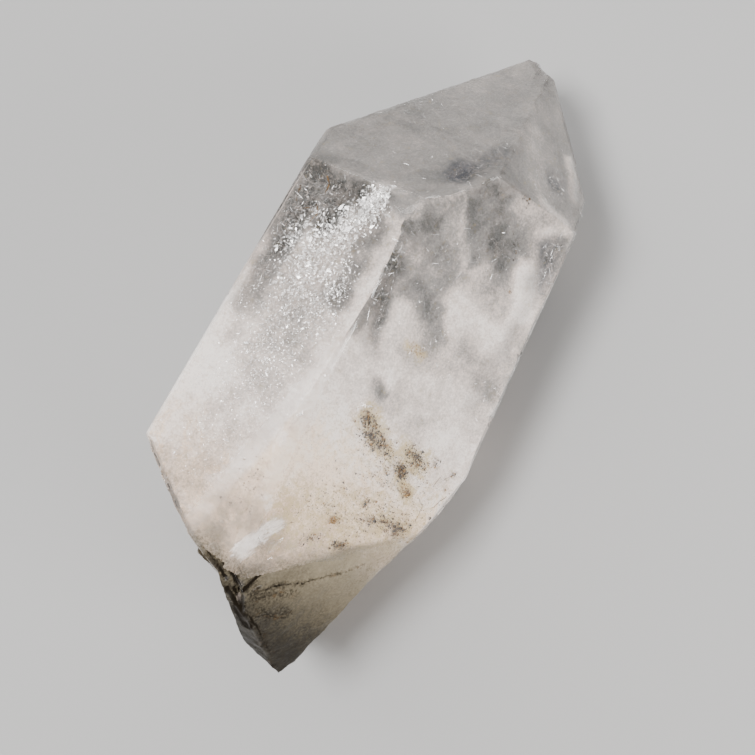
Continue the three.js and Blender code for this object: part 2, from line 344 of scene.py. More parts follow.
# Fine pale cracks in the clear quartz. Each row ends with how many, their length in millimetres and how
# solid they look.
FRACTURES = scattered([
    ("upper", [
        ((-21, -24), (-19, -50), 5, 420, 1.5, 0.32),
        ((-14, -25), (-11, -34), 5, 240, 1.3, 0.26),
        ((-19, -52), (-18, -74), 4, 220, 1.2, 0.3),
    ]),
    ("right", [
        ((-27, -32), (-22, -58), 4.5, 380, 1.2, 0.35),
        ((-18, -30), (6, -20), 9, 460, 1.3, 0.25),
        ((-8, -50), (6, -50), 8, 300, 1.2, 0.25),
        ((24, -4), (24, -26), 4, 260, 1.5, 0.5),
        ((22, -30), (25, -66), 4, 260, 1.3, 0.35),
    ]),
    ("tip_upper", [
        ((-8, -10), (2, 14), 14, 320, 1.4, 0.2),
        ((14, -8), (18, 14), 6, 200, 1.4, 0.25),
    ]),
    ("tip_right", [((12, 4), (24, 16), 8, 320, 1.4, 0.35)]),
    ("left", [((8, -24), (2, -60), 9, 420, 1.4, 0.35)]),
    ("lower_left", [((-4, -28), (2, -56), 9, 320, 1.4, 0.35)]),
    ("lower_right", [((4, -24), (-2, -56), 9, 320, 1.4, 0.35)]),
    ("tip_left", [((6, 8), (-4, 20), 9, 220, 1.4, 0.35)]),
    ("tip_lower_left", [((2, 4), (-4, 14), 9, 220, 1.4, 0.35)]),
    ("tip_lower_right", [((-2, 6), (4, 14), 9, 220, 1.4, 0.35)]),
])


def in_part(points):
    """Points in metres as millimetres in the part's frame."""
    return np.asarray(points, float) / MM


def read(items, name, width=1, kind=float):
    """One field of all of a mesh's items, as rows where it has more than one number."""
    values = np.empty(len(items) * width, kind)
    items.foreach_get(name, values)
    return values.reshape(-1, width) if width > 1 else values


def vertex_places(mesh):
    """The places of a mesh's vertices, as rows in metres."""
    return read(mesh.vertices, "co", 3)


def set_places(mesh, places):
    """Moves a mesh's vertices to those places, in metres."""
    mesh.vertices.foreach_set("co", places.ravel())
    mesh.update()


def vertex_normals(mesh):
    """The outward directions at a mesh's vertices."""
    return read(mesh.vertex_normals, "vector", 3)


def edge_ends(mesh):
    """The two vertices of each edge."""
    return read(mesh.edges, "vertices", 2, int)


def face_middles(mesh):
    """The middle of each of a mesh's faces, in the part's frame in millimetres."""
    return in_part(read(mesh.polygons, "center", 3))


def face_normals(mesh):
    """The outward direction of each of a mesh's faces."""
    return read(mesh.polygons, "normal", 3)


def smoothed(values, ends, rounds, share):
    """Values at the vertices, drawn towards those of their neighbours in that many rounds."""
    values = values.copy()
    count = np.bincount(ends.ravel(), minlength=len(values)).clip(1)
    wide = values.reshape(len(values), -1)
    weight = np.broadcast_to(np.asarray(share, float), (len(values),))[:, None]
    for _ in range(rounds):
        total = np.zeros_like(wide)
        np.add.at(total, ends[:, 0], wide[ends[:, 1]])
        np.add.at(total, ends[:, 1], wide[ends[:, 0]])
        wide = wide + weight * (total / count[:, None] - wide)
    return wide.reshape(values.shape)


def write(mesh, name, values, domain="POINT"):
    """Keeps one number for each vertex, face or corner of a mesh, for its material to read."""
    attribute = mesh.attributes.new(name, "FLOAT", domain)
    attribute.data.foreach_set("value", np.asarray(values, np.float32))


def link(item):
    """Puts an object into the scene."""
    bpy.context.scene.collection.objects.link(item)
    return item


def as_mesh(work, name):
    """A new mesh from what was worked on."""
    mesh = bpy.data.meshes.new(name)
    work.to_mesh(mesh)
    work.free()
    return mesh


def new_piece(name, mesh):
    """A piece of the crystal that moves with the frame's only body."""
    piece = link(bpy.data.objects.new(name, mesh))
    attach(piece, "root")
    return piece


# How far along the axis the mesh gets finer towards the tip, in millimetres.
FINE_FROM = 42
# The nick in the tip and the rounded lobe beside it run through it along one direction. For each: a place
# from the axis point, the radius and how far the surface stands out there, in millimetres.
NICK_WAY = (0.428, -0.089, 0.899)
NICK_OUT = (0.21, 0.979, 0)
NICKS = [((3.3, 45.3, -14.2), 1.5, -2.3), ((-1.5, 48.4, -17.6), 2.4, 0.8)]


def nicked(points):
    """Points in millimetres, moved where the tip is nicked."""
    way, out = unit(NICK_WAY), unit(NICK_OUT)
    moved = points.copy()
    for place, radius, height in NICKS:
        off = points - AXIS - place
        off = off - (off @ way)[:, None] * way
        share = ease(radius, 0.15 * radius, np.linalg.norm(off, axis=1))
        moved += (share * height)[:, None] * out
    return moved


def cut_into_cells(cell, cuts):
    """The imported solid's mesh with its flat faces cut into cells of that size, and each cell cut again."""
    work = bmesh.new()
    work.from_mesh(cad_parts[NODE].data)
    bmesh.ops.remove_doubles(work, verts=work.verts, dist=0.002 * MM)
    bmesh.ops.dissolve_limit(work, angle_limit=math.radians(0.4), verts=work.verts, edges=work.edges)
    places = np.array([vertex.co for vertex in work.verts])
    for axis in range(3):
        low, high = places[:, axis].min(), places[:, axis].max()
        direction = Vector([float(k == axis) for k in range(3)])
        for place in np.arange(low + 0.37 * cell, high, cell):
            everything = work.verts[:] + work.edges[:] + work.faces[:]
            bmesh.ops.bisect_plane(
                work, geom=everything, dist=0.001 * MM, plane_co=direction * place, plane_no=direction
            )
    bmesh.ops.triangulate(work, faces=work.faces)
    bmesh.ops.subdivide_edges(work, edges=work.edges, cuts=cuts, use_grid_fill=True)
    bmesh.ops.triangulate(work, faces=work.faces)
    tip_from = (AXIS[1] + FINE_FROM) * MM
    near_tip = [edge for edge in work.edges if min(vertex.co.y for vertex in edge.verts) > tip_from]
    bmesh.ops.subdivide_edges(work, edges=near_tip, cuts=2, use_grid_fill=True)
    bmesh.ops.triangulate(work, faces=work.faces)
    mesh = as_mesh(work, "quartz_cells")
    set_places(mesh, nicked(in_part(vertex_places(mesh))) * MM)
    return mesh


def sharpness(mesh):
    """For each vertex the largest angle between two faces at its edges, in degrees."""
    work = bmesh.new()
    work.from_mesh(mesh)
    sharp = np.zeros(len(work.verts))
    for edge in work.edges:
        if len(edge.link_faces) == 2:
            angle = math.degrees(edge.calc_face_angle(0))
            for vertex in edge.verts:
                sharp[vertex.index] = max(sharp[vertex.index], angle)
    work.free()
    return sharp


def sharpen(mesh, broken):
    """Marks the edges that shade crisply: the grown faces' own, and the steep ones on the break."""
    mesh.shade_smooth()
    work = bmesh.new()
    work.from_mesh(mesh)
    for edge in work.edges:
        if len(edge.link_faces) == 2:
            rough = max(broken[vertex.index] for vertex in edge.verts)
            crisp_from = CRISP_GROWN + (CRISP_BROKEN - CRISP_GROWN) * rough
            edge.smooth = math.degrees(edge.calc_face_angle(0)) < crisp_from
    work.to_mesh(mesh)
    work.free()


def breakage(points):
    """1 on the broken base and 0 on the grown faces, for points in the part's frame in millimetres."""
    inside = np.full(len(points), np.inf)
    for name in FACES:
        normal, distance = face_plane(name)
        inside = np.minimum(inside, distance - (points - AXIS) @ normal)
    along = points[:, 1] - AXIS[1]
    return ease(0.25, 0.6, inside) * ease(-60, -75, along)


# The lines on the right and upper faces below which the stain begins, as places across and along.
STAIN_BORDERS = {
    "right": [(-17.1, -133.4), (-10.2, -128.4), (0.1, -121), (13.4, -114.4), (23.4, -108)],
    "upper": [(-10, -150), (6.5, -131), (10.6, -131.2), (15.1, -131.9), (21.5, -132.8), (25.9, -135)],
}

# Dark iron-filled cracks on the tail: from one place to another, with a half width and an amount.
TAIL_SEAMS = [
    ((-40.3, -133.3), (-34.8, -135.2), 0.8, 0.75),
    ((-34.8, -135.2), (-31.2, -136.8), 0.9, 0.85),
    ((-34.4, -133.3), (-30.1, -135.0), 1.0, 0.9),
    ((-30.1, -135.0), (-25.4, -136.6), 1.0, 0.95),
    ((-28.8, -138.8), (-21.2, -142.1), 1.1, 1.0),
    ((-21.2, -142.1), (-12.8, -145.6), 1.3, 1.05),
    ((-26.8, -137.8), (-20.2, -141.0), 0.8, 0.9),
    ((-23.9, -137.9), (-23.0, -134.7), 0.8, 1.0),
    ((-23.0, -134.7), (-22.0, -130.4), 0.9, 1.0),
    ((-16.3, -142.7), (-10.3, -144.4), 1.0, 0.8),
    ((-10.3, -144.4), (-5.9, -146.4), 0.9, 0.75),
    ((-5.9, -146.4), (2.0, -149.7), 1.3, 0.62),
    ((-1.0, -150.5), (9.3, -153.6), 1.2, 0.55),
    ((-18.8, -135.8), (-15.9, -132.7), 0.9, 0.72),
    ((-15.9, -132.7), (-12.0, -130.3), 0.9, 0.72),
    ((-12.0, -130.3), (-7.3, -128.0), 0.8, 0.68),
    ((-7.3, -128.0), (-4.4, -125.1), 0.6, 0.7),
    ((-4.4, -125.1), (1.6, -120.8), 0.5, 0.7),
    ((1.6, -120.8), (7.4, -115.0), 0.45, 0.6),
    ((-20.0, -137.0), (-9.0, -132.0), 2.2, 0.6),
    ((-14.0, -139.7), (-8.6, -140.2), 0.8, 0.68),
    ((-8.6, -140.2), (-3.6, -139.0), 0.8, 0.68),
    ((-3.6, -139.0), (-3.4, -135.9), 0.7, 0.64),
    ((-14.0, -141.0), (-5.0, -138.0), 2.2, 0.6),
]
# How many times wider than a crack the dirt beside it reaches.
DIRT_REACH = 2.2
# Fine rusty cracks low on the right face.
RIGHT_SEAMS = [
    ((24.7, -82.5), (24.1, -86.0), 0.28, 0.7),
    ((28.2, -80.2), (26.4, -83.1), 0.28, 0.7),
    ((27.8, -91.3), (29.1, -88.8), 0.3, 0.8),
    ((29.1, -88.8), (30.3, -86.2), 0.3, 0.8),
    ((24.4, -97.4), (24.1, -92.6), 0.28, 0.7),
    ((24.1, -92.6), (21.0, -90.7), 0.26, 0.6),
    ((-20, -119), (-12, -113), 0.3, 0.5),
]
# Brown cracks in the clear corner of the upper face.
UPPER_SEAMS = [
    ((-15.8, -23.8), (-13.9, -25.7), 0.4, 0.8),
    ((-13.9, -25.7), (-13.2, -28.8), 0.45, 0.9),
    ((-14.0, -32.9), (-12.1, -34.9), 0.4, 0.8),
    ((-12.1, -34.9), (-13.1, -38.4), 0.35, 0.7),
    ((-17.1, -35.2), (-14.0, -33.4), 0.35, 0.6),
    ((-21.6, -29.6), (-20.4, -34), 0.5, 0.6),
]


class Socket:
    """An output of a material's node. Sums with numbers and other sockets add Math nodes."""

    def __init__(self, look, output):
        self.look, self.output = look, output

    def __add__(self, other):
        return self.look.maths("ADD", self, other)

    def __sub__(self, other):
        return self.look.maths("SUBTRACT", self, other)

    def __rsub__(self, other):
        return self.look.maths("SUBTRACT", other, self)

    def __mul__(self, other):
        return self.look.maths("MULTIPLY", self, other)

    def __truediv__(self, other):
        return self.look.maths("DIVIDE", self, other)

    def __pow__(self, other):
        return self.look.maths("POWER", self, other)

    def __or__(self, other):
        return self.look.maths("MAXIMUM", self, other)

    __radd__ = __add__
    __rmul__ = __mul__

    def between(self, low, high):
        """0 below low, 1 above high and a smooth rise between them."""
        settings = {"interpolation_type": "SMOOTHSTEP"}
        inputs = {"Value": self, "From Min": low, "From Max": high}
        return self.look.node("ShaderNodeMapRange", settings, inputs)["Result"]


class Outputs:
    """A node's outputs by name, as sockets that take part in sums."""

    def __init__(self, look, node):
        self.look, self.node = look, node

    def __getitem__(self, name):
        return Socket(self.look, self.node.outputs[name])


class Look:
    """A material built from nodes."""

    def __init__(self, name):
        self.material = bpy.data.materials.new(name)
        self.material.use_nodes = True
        self.tree = self.material.node_tree
        self.tree.nodes.clear()
        self.places = self.node("ShaderNodeTexCoord")["Object"]

    def node(self, kind, settings=None, inputs=None):
        """A new node of that kind, with its settings made first and then its inputs filled or linked."""
        node = self.tree.nodes.new(kind)
        for name, value in (settings or {}).items():
            if name == "stops":
                self.set_stops(node.color_ramp, value)
            else:
                setattr(node, name, value)
        for name, value in (inputs or {}).items():
            if isinstance(value, Socket):
                self.tree.links.new(value.output, node.inputs[name])
            else:
                node.inputs[name].default_value = value
        return Outputs(self, node)

    @staticmethod
    def set_stops(ramp, stops):
        """Gives a colour ramp its stops, as pairs of a place and a colour."""
        while len(ramp.elements) < len(stops):
            ramp.elements.new(0.5)
        for element, (place, colour) in zip(ramp.elements, stops):
            element.position = place
            element.color = (*colour, 1)

    def maths(self, operation, *values):
        """A Math node on sockets and numbers."""
        inputs = dict(enumerate(values))
        return self.node("ShaderNodeMath", {"operation": operation}, inputs)["Value"]

    def attribute(self, name):
        """A number that the mesh keeps for each vertex, face or corner."""
        return self.node("ShaderNodeAttribute", {"attribute_name": name})["Fac"]

    def noise_at(self, places, size, detail, roughness=0.5, distortion=0):
        """Noise from 0 to 1 at places, with lumps of about that size in millimetres."""
        inputs = {"Vector": places, "Scale": 1 / (size * MM), "Detail": detail}
        inputs.update({"Roughness": roughness, "Distortion": distortion})
        return self.node("ShaderNodeTexNoise", {}, inputs)

    def noise(self, size, detail=4, roughness=0.55, distortion=0, stretch=(1, 1, 1)):
        """Cloudy noise over the piece, drawn out where stretch is below 1."""
        places = self.vector("MULTIPLY", self.places, stretch)
        return self.noise_at(places, size, detail, roughness, distortion)["Fac"]

    def streaks(self, direction, size, ratio):
        """Noise drawn out along a direction to that many times its width."""
        way = tuple(unit(direction))
        along = self.measure("DOT_PRODUCT", self.places, way) * (1 / ratio - 1)
        places = self.vector("ADD", self.places, self.scaled(way, along))
        return self.noise_at(places, size, 5, 0.65)["Fac"]

    def blend(self, share, first, second, how="MIX"):
        """A colour between two others, or the first tinted by the second."""
        settings = {"data_type": "RGBA", "blend_type": how}
        inputs = {0: share, 6: self.coloured(first), 7: self.coloured(second)}
        node = self.node("ShaderNodeMix", settings, inputs).node
        return Socket(self, node.outputs[2])

    @staticmethod
    def coloured(colour):
        """A colour as a socket takes it."""
        return colour if isinstance(colour, Socket) else (*tuple(colour)[:3], 1)

    def ramp(self, share, stops):
        """The colour that a ramp has at a share."""
        return self.node("ShaderNodeValToRGB", {"stops": stops}, {"Fac": share})["Color"]

    def vector(self, operation, *values):
        """The vector that a Vector Math node gives for sockets and directions."""
        inputs = dict(enumerate(values))
        return self.node("ShaderNodeVectorMath", {"operation": operation}, inputs)["Vector"]

    def measure(self, operation, *values):
        """The number that a Vector Math node gives for sockets and directions."""
        inputs = dict(enumerate(values))
        return self.node("ShaderNodeVectorMath", {"operation": operation}, inputs)["Value"]

    def scaled(self, vector, share):
        """A vector made longer or shorter."""
        inputs = {0: vector, "Scale": share}
        return self.node("ShaderNodeVectorMath", {"operation": "SCALE"}, inputs)["Vector"]

    def wandering(self, size, distance):
        """The place on the piece, pushed about by noise up to that distance. All in millimetres."""
        push = self.noise_at(self.places, size, 3)["Color"]
        centred = self.vector("SUBTRACT", push, (0.5, 0.5, 0.5))
        return self.vector("ADD", self.places, self.scaled(centred, distance * MM))

    def lines(self, face, places, lines):
        """How much of the lines on a face there is at places: 1 on a line and 0 from its half width on."""
        flat = Face(face)
        normal = tuple(flat.normal)
        height = self.measure("DOT_PRODUCT", places, normal)
        level = self.vector("SUBTRACT", places, self.scaled(normal, height))
        total = 0
        for start, end, width, amount in lines:
            first, last = [flat.place(*place) * MM for place in (start, end)]
            first, last = [place - (place @ flat.normal) * flat.normal for place in (first, last)]
            way = last - first
            off = self.vector("SUBTRACT", level, tuple(first))
            share = self.measure("DOT_PRODUCT", off, tuple(way / (way @ way)))
            held = self.node("ShaderNodeClamp", {}, {"Value": share})["Result"]
            far = self.measure("DISTANCE", off, self.scaled(tuple(way), held))
            total = (1 - far / (width * MM)) * amount | total
        return total

    def bump(self, height, distance, strength=1):
        """A normal bent by a height, where a height of one stands for that distance in millimetres."""
        inputs = {"Height": height, "Distance": distance * MM, "Strength": strength}
        return self.node("ShaderNodeBump", {}, inputs)["Normal"]

    def principled(self, colour, **inputs):
        """A surface; the names of its inputs are written with _ for spaces."""
        named = {name.replace("_", " "): value for name, value in inputs.items()}
        named["Base Color"] = self.coloured(colour)
        return self.node("ShaderNodeBsdfPrincipled", {}, named)["BSDF"]

    def either(self, share, first, second):
        """A surface between two others."""
        node = self.node("ShaderNodeMixShader", {}, {0: share, 1: first, 2: second}).node
        return Socket(self, node.outputs[0])

    def open_to_lamps(self, surface):
        """The surface, but lamps and scattered light pass it as if it weren't there."""
        path = self.node("ShaderNodeLightPath")
        clear = self.node("ShaderNodeBsdfTransparent")["BSDF"]
        inner = self.either(path["Is Diffuse Ray"], surface, clear)
        return self.either(path["Is Shadow Ray"], inner, clear)

    def done(self, surface, volume=None):
        """Joins the surface and the volume to the output, and gives the material."""
        inputs = {"Surface": surface}
        if volume is not None:
            inputs["Volume"] = volume
        self.node("ShaderNodeOutputMaterial", {}, inputs)
        return self.material


def skin_look(sizes, iron):
    """Glassy quartz with a thin haze, a painted sheen, a painted silky highlight and painted pale rims, rusty
    in places, matt and stained where the base is broken, its darkness there partly painted shade.
    """
    look = Look("glassy_quartz")
    broken, deep, past = look.attribute("broken"), look.attribute("deep"), look.attribute("past")
    ripple = look.noise(9, detail=3)
    fine = look.noise(0.9, detail=4, roughness=0.6)
    rough_break = look.noise(2.2, detail=6, roughness=0.65)
    height = ripple * 0.05 + fine * 0.006 * (1 - broken) + rough_break * broken * 0.3
    normal = look.bump(height, 1)
    worn_share = broken * 0.25 | look.attribute("edge") * 0.15 | look.attribute("frosted") * 0.6
    glass = look.principled(
        (0.985, 0.985, 0.985),
        Roughness=0.04 + worn_share,
        IOR=QUARTZ_IOR,
        Transmission_Weight=1,
        Normal=normal,
    )
    streaks = look.noise(4, detail=7, roughness=0.7, distortion=0.3, stretch=(1, 0.8, 1))
    grain = look.noise(0.6, detail=3, roughness=0.75)
    haze_and_highlight_colour = look.blend(look.attribute("milky"), sizes.grey_haze_and_sheen, sizes.white_haze)
    # Painted sheen: grey haze over the tip's faces and the chip.
    sheen = look.attribute("sheen") * (0.5 + streaks * 0.4 + grain * 0.6)
    haze_and_highlight_share = sheen + look.attribute("haze") * (streaks + grain)
    haze_and_highlight_share = haze_and_highlight_share * (1 - look.attribute("rust") * 0.6)
    # Painted silky highlight at the worn end of the ridge, streaked along it.
    silk_highlight_streaks = look.noise(2, detail=6, roughness=0.7, stretch=(0.5, 1, 0.5))
    ridge_end = Face("right")
    threads = look.streaks(ridge_end.place(-18.3, -118) - ridge_end.place(-23.5, -127), 0.8, 5)
    silk = (look.attribute("silk") * 0.9 + (threads - 0.5) * 2.6).between(0.35, 0.75)
    haze_and_highlight_colour = look.blend(silk, haze_and_highlight_colour, sizes.silk)
    haze_and_highlight_share = haze_and_highlight_share + silk * (0.05 + silk_highlight_streaks * 0.7)
    haze = look.principled(haze_and_highlight_colour, Roughness=0.2, Specular_IOR_Level=0.5, Normal=normal)
    clear = look.either(haze_and_highlight_share.between(0, 1), glass, haze)
    dirt = look.noise(7, detail=7, roughness=0.65, distortion=0.3)
    fine_dirt = look.noise(0.8, detail=5, roughness=0.75)
    stain = (dirt * 0.5 + fine_dirt * 0.5 + deep * 0.1 + deep ** 4 * 0.26).between(0.45, 1)
    # Pale at the top of the tail and darker towards its end, the dark colour partly painted shade.
    stained = look.blend(deep * (0.6 + fine_dirt * 0.8), sizes.pale_break, sizes.shaded_break_colour)
    stained = look.blend(stain, stained, sizes.dirt_colour)
    matt = look.principled(stained, Roughness=0.4, Specular_IOR_Level=0.2, Normal=normal)
    stain_share = look.attribute("stain")
    past_line = (past + (fine_dirt - 0.5) * 1.6).between(-0.2, 0.2)
    tail = (look.attribute("tail") | past_line) * stain_share
    soil = past.between(-9, 1) * (fine_dirt + dirt * 0.5 - 0.5) * 2.6
    share = tail * (0.6 + fine_dirt * 0.5 + deep * 0.3) | soil * 0.8
    based = look.either(share.between(0, 1), clear, matt)
    wandering = look.wandering(3, 1.4)
    fine_wandering = look.wandering(1.6, 1.5)
    worn = look.noise(1.1, detail=6, roughness=0.75)
    front = Face("tail_front")
    torn = look.streaks(front.place(-12.8, -145.6) - front.place(-28.8, -138.8), 0.9, 4)
    seams = [(start, end, DIRT_REACH * width, amount) for start, end, width, amount in TAIL_SEAMS]
    near_seam = look.lines("tail_front", wandering, seams) * tail.between(0.1, 0.4)
    seams = (near_seam * 2.2 - 1.2 + (torn * 0.6 + fine_dirt * 0.4 - 0.5) * 2).between(0, 0.45)
    seam_dirt = (near_seam + (fine_dirt * 0.7 + dirt * 0.3 - 0.5) * 3).between(0.25, 0.8)
    seam_dirt = seam_dirt * near_seam.between(0, 0.25)
    hairs = look.lines("right", fine_wandering, RIGHT_SEAMS)
    hairs = hairs | look.lines("upper", fine_wandering, UPPER_SEAMS)
    hairs = hairs * (worn * 2) * look.attribute("grown")
    rust_grain = look.noise(0.55, detail=3, roughness=0.7)
    rust_share = (rust_grain + look.attribute("rust") * 0.15).between(0.7, 0.76) * 0.8
    rust_share = rust_share | seams | seam_dirt * 0.62 | hairs.between(0.25, 0.7) * 0.85
    shade = look.noise(2.6, detail=3) * 0.8 + rust_grain * 0.25
    shade = shade + seams * 0.2 + tail * 0.24 + hairs * 0.1
    stops = [(0.4, iron.ochre), (0.54, iron.rust), (0.7, sizes.dirt_colour)]
    rust_colour = look.ramp(shade, stops)
    rust = look.principled(rust_colour, Roughness=0.7, Specular_IOR_Level=0.05, Normal=normal)
    # Painted pale rim highlight along the edges, strongest along the outer edges.
    rim_highlight_share = look.attribute("rim") * (0.25 + streaks)
    rim_highlighted = look.either(rim_highlight_share.between(0, 1), look.either(rust_share, based, rust), haze)
    surface = look.open_to_lamps(rim_highlighted)
    absorption = look.node(
        "ShaderNodeVolumeAbsorption", {}, {"Color": (0.72, 0.76, 0.8, 1), "Density": sizes.absorption}
    )["Volume"]
    return look.done(surface, absorption)


def cloud_look(colours):
    """Milky quartz inside the skin: warm white, greyer where it lies deep."""
    look = Look("milky_clouds")
    tone = look.attribute("tone")
    soft = look.noise(9, detail=5, roughness=0.6, distortion=0.3) - 0.5
    fine = look.noise(2.4, detail=8, roughness=0.75, distortion=0.4) - 0.5
    grain = look.noise(0.7, detail=4, roughness=0.8) - 0.5
    rough = 1 - look.attribute("calm")
    shade = tone + (soft * (0.3 + tone * 0.2) + fine * 0.6) * rough + grain * (0.9 - tone * 0.3)
    stops = [
        (0, colours.white_milk),
        (0.2, colours.milk),
        (0.46, colours.grey_milk),
        (0.7, colours.smoke),
        (0.95, colours.dark_smoke),
    ]
    colour = look.ramp(shade, stops)
    cracks = look.noise(2.2, detail=9, roughness=0.82, distortion=0.7)
    stops = [
        (0.4, colours.dark_smoke),
        (0.52, colours.smoke),
        (0.6, colours.grey_milk),
        (0.68, colours.milk),
    ]
    crackled = look.attribute("crackled")
    colour = look.blend(crackled * 0.7, colour, look.ramp(cracks, stops))
    colour = look.blend(look.attribute("blue") * tone, colour, colours.blue_smoke)
    lumps = look.noise(11, detail=6, roughness=0.65, distortion=0.6)
    veins = (1 - look.maths("ABSOLUTE", lumps - 0.5) * 30).between(0, 1)
    warm = look.attribute("warm") * (0.8 + soft * 2 + fine + veins * 0.8)
    colour = look.blend(warm.between(0, 1), colour, colours.warm_milk, "MULTIPLY")
    halo = (look.attribute("rust") * 0.9 + fine * 2 + grain).between(0.1, 0.8) * 0.85
    colour = look.blend(halo, colour, colours.stained_milk)
    # The tail's milk in its dark colour, partly painted shade.
    colour = look.blend(look.attribute("tail"), colour, colours.tail)
    surface = look.principled(
        colour,
        Roughness=0.8,
        Specular_IOR_Level=0,
        Subsurface_Weight=0.2,
        Subsurface_Radius=(1, 0.92, 0.85),
        Subsurface_Scale=1.5 * MM,
    )
    clear = look.node("ShaderNodeBsdfTransparent")["BSDF"]
    window = (shade + crackled * (0.5 - cracks)).between(0.6, 1.1) * 0.42
    return look.done(look.either(window, surface, clear))


def wisp_look(colours):
    """Thin torn veils and threads of milk that hang above the clear windows."""
    look = Look("milky_wisps")
    torn = look.noise(6, detail=9, roughness=0.7, distortion=0.25)
    fine = look.noise(1.4, detail=6, roughness=0.8)
    veil = look.attribute("veil")
    cloud = (torn * 0.7 + fine * 0.3).between(0.46, 0.66) * 0.22
    thread = look.noise(3.2, detail=6, roughness=0.75, distortion=0.9, stretch=(1, 0.6, 1))
    ridge = 1 - look.maths("ABSOLUTE", thread - 0.5) * 28
    threads = ridge.between(0, 1) * (fine.between(0.42, 0.62)) * 0.5
    share = (cloud | threads * (0.35 + look.attribute("crackled"))) * veil
    milk = look.principled(colours.milk, Roughness=0.8, Specular_IOR_Level=0)
    clear = look.node("ShaderNodeBsdfTransparent")["BSDF"]
    return look.done(look.either(share, clear, milk))


def glitter_look():
    """Thin gaps inside the quartz that mirror the lamps; the thinnest are nearly clear."""
    look = Look("glitter_veil")
    gap = look.principled((1.0, 0.98, 0.96), Metallic=0.6, Roughness=0.26)
    clear = look.node("ShaderNodeBsdfTransparent")["BSDF"]
    return look.done(look.either(look.attribute("shade"), clear, gap))


def speck_look(colours):
    """Iron stains, from ochre to nearly black."""
    look = Look("iron_specks")
    shade = look.attribute("shade")
    stops = [(0, colours.ochre), (0.45, colours.rust), (0.8, colours.black_iron)]
    surface = look.principled(look.ramp(shade, stops), Roughness=0.6, Specular_IOR_Level=0.2)
    return look.done(surface)


def number(name, description, default, **limits):
    """A size or an amount that the sidebar shows."""
    return FloatProperty(name=name, description=description, default=default, **limits)


def power(name, description, default):
    """A lamp's power that the sidebar shows."""
    return FloatProperty(name=name, description=description, default=default, subtype="POWER")


def colour(name, description, default):
    """A colour that the sidebar shows."""
    return FloatVectorProperty(name=name, description=description, default=default, subtype="COLOR")


class SkinSizes(bpy.types.PropertyGroup):
    cell: number("Cell", "Size of the cells that the faces are cut into, in millimetres", 4.1, min=2)
    cuts: IntProperty(name="Cuts", description="How often each edge of a cell is cut again", default=2, min=0)
    rounding: number("Rounding", "How far the sharp edges are drawn in", 0.3, min=0, max=1)
    relief: number("Relief", "Depth of the fine relief on the broken base, in millimetres", 0.5)
    absorption: number("Absorption", "How strongly the clear quartz darkens with depth", 30, min=0)
    # Grey haze: a painted sheen on the tip's faces and the chip, and a faint haze on the other clear faces.
    grey_haze_and_sheen: colour("Grey haze", "Colour of the haze on the clear faces", (0.36, 0.345, 0.33))
    white_haze: colour("White haze", "Colour of the haze on the milky faces", (0.90, 0.865, 0.835))
    # Colour of the painted silky highlight at the ridge's end.
    silk: colour("Silk", "Colour of the silky patch at the ridge's end", (0.98, 0.90, 0.83))
    pale_break: colour("Pale break", "Colour of the top of the tail", (0.31, 0.255, 0.17))
    # The broken base's dark colour: its own brown-grey, darkened further as painted shade.
    shaded_break_colour: colour("Break", "Colour of the broken base", (0.036, 0.029, 0.015))
    dirt_colour: colour("Dirt", "Colour of the dirt in the broken base", (0.009, 0.006, 0.003))


class CloudColours(bpy.types.PropertyGroup):
    least: number("Least depth", "Depth of the milk under the skin, in millimetres", 0.9, min=0.3)
    deepest: number("Deepest", "Depth of the milk under the clear windows, in millimetres", 4)
    milk: colour("Milk", "Colour of the milky quartz", (0.67, 0.56, 0.495))
    grey_milk: colour("Grey milk", "Colour of the thin milk", (0.275, 0.25, 0.23))
    white_milk: colour("White milk", "Colour of the whitest lumps", (0.97, 0.865, 0.79))
    warm_milk: colour("Warm milk", "Tint of the yellowish milk", (1.0, 0.86, 0.70))
    dark_smoke: colour("Dark smoke", "Colour of the darkest cracks", (0.045, 0.047, 0.043))
    smoke: colour("Smoke", "Colour seen down the clear windows", (0.125, 0.118, 0.11))
    blue_smoke: colour("Blue smoke", "Colour of the bluish windows", (0.05, 0.058, 0.078))
    stained_milk: colour("Stained milk", "Colour of the milk round the iron", (0.60, 0.45, 0.215))
    # The tail's own olive grey, darkened further as painted shade.
    tail: colour("Tail", "Colour inside the broken tail", (0.10, 0.085, 0.055))


class FlakeSizes(bpy.types.PropertyGroup):
    glint: number("Glint", "Size of a sparkling flake, in millimetres", 0.37)
    tilt: number("Tilt", "How far the flakes lean, in degrees", 16)
    ochre: colour("Ochre", "Colour of the palest stains", (0.40, 0.215, 0.05))
    rust: colour("Rust", "Colour of the rusty stains", (0.14, 0.072, 0.022))
    black_iron: colour("Black iron", "Colour of the darkest stains", (0.018, 0.010, 0.004))


class StageSizes(bpy.types.PropertyGroup):
    floor: colour("Floor", "Colour of the floor", (0.46, 0.455, 0.45))
    key: power("Key lamp", "Power of the main lamp", 13)
    fill: power("Fill lamp", "Power of the fill lamp", 8.5)
    rim: power("Rim lamp", "Power of the lamp behind", 4)
    back: power("Back lamp", "Power of the lamp at the back", 12)
    room: number("Room", "Brightness of the room's soft light", 0.45)


class QuartzSettings(bpy.types.PropertyGroup):
    skin: PointerProperty(type=SkinSizes)
    clouds: PointerProperty(type=CloudColours)
    flakes: PointerProperty(type=FlakeSizes)
    stage: PointerProperty(type=StageSizes)


def settings():
    """The sizes and colours that the scene keeps."""
    return bpy.context.scene.quartz_settings


# The faces whose shared edges stayed crisp; the other edges get a painted pale rim highlight.
CRISP_FACES = ("upper", "right", "tip_upper", "tip_right")
# Painted sheen: how much grey haze each grown face gets.
SHEEN = {
    "tip_upper": 0.26,
    "tip_right": 0.22,
    "right": 0.03,
    "upper": 0.02,
    "tip_left": 0.2,
    "tip_under": 0.2,
}


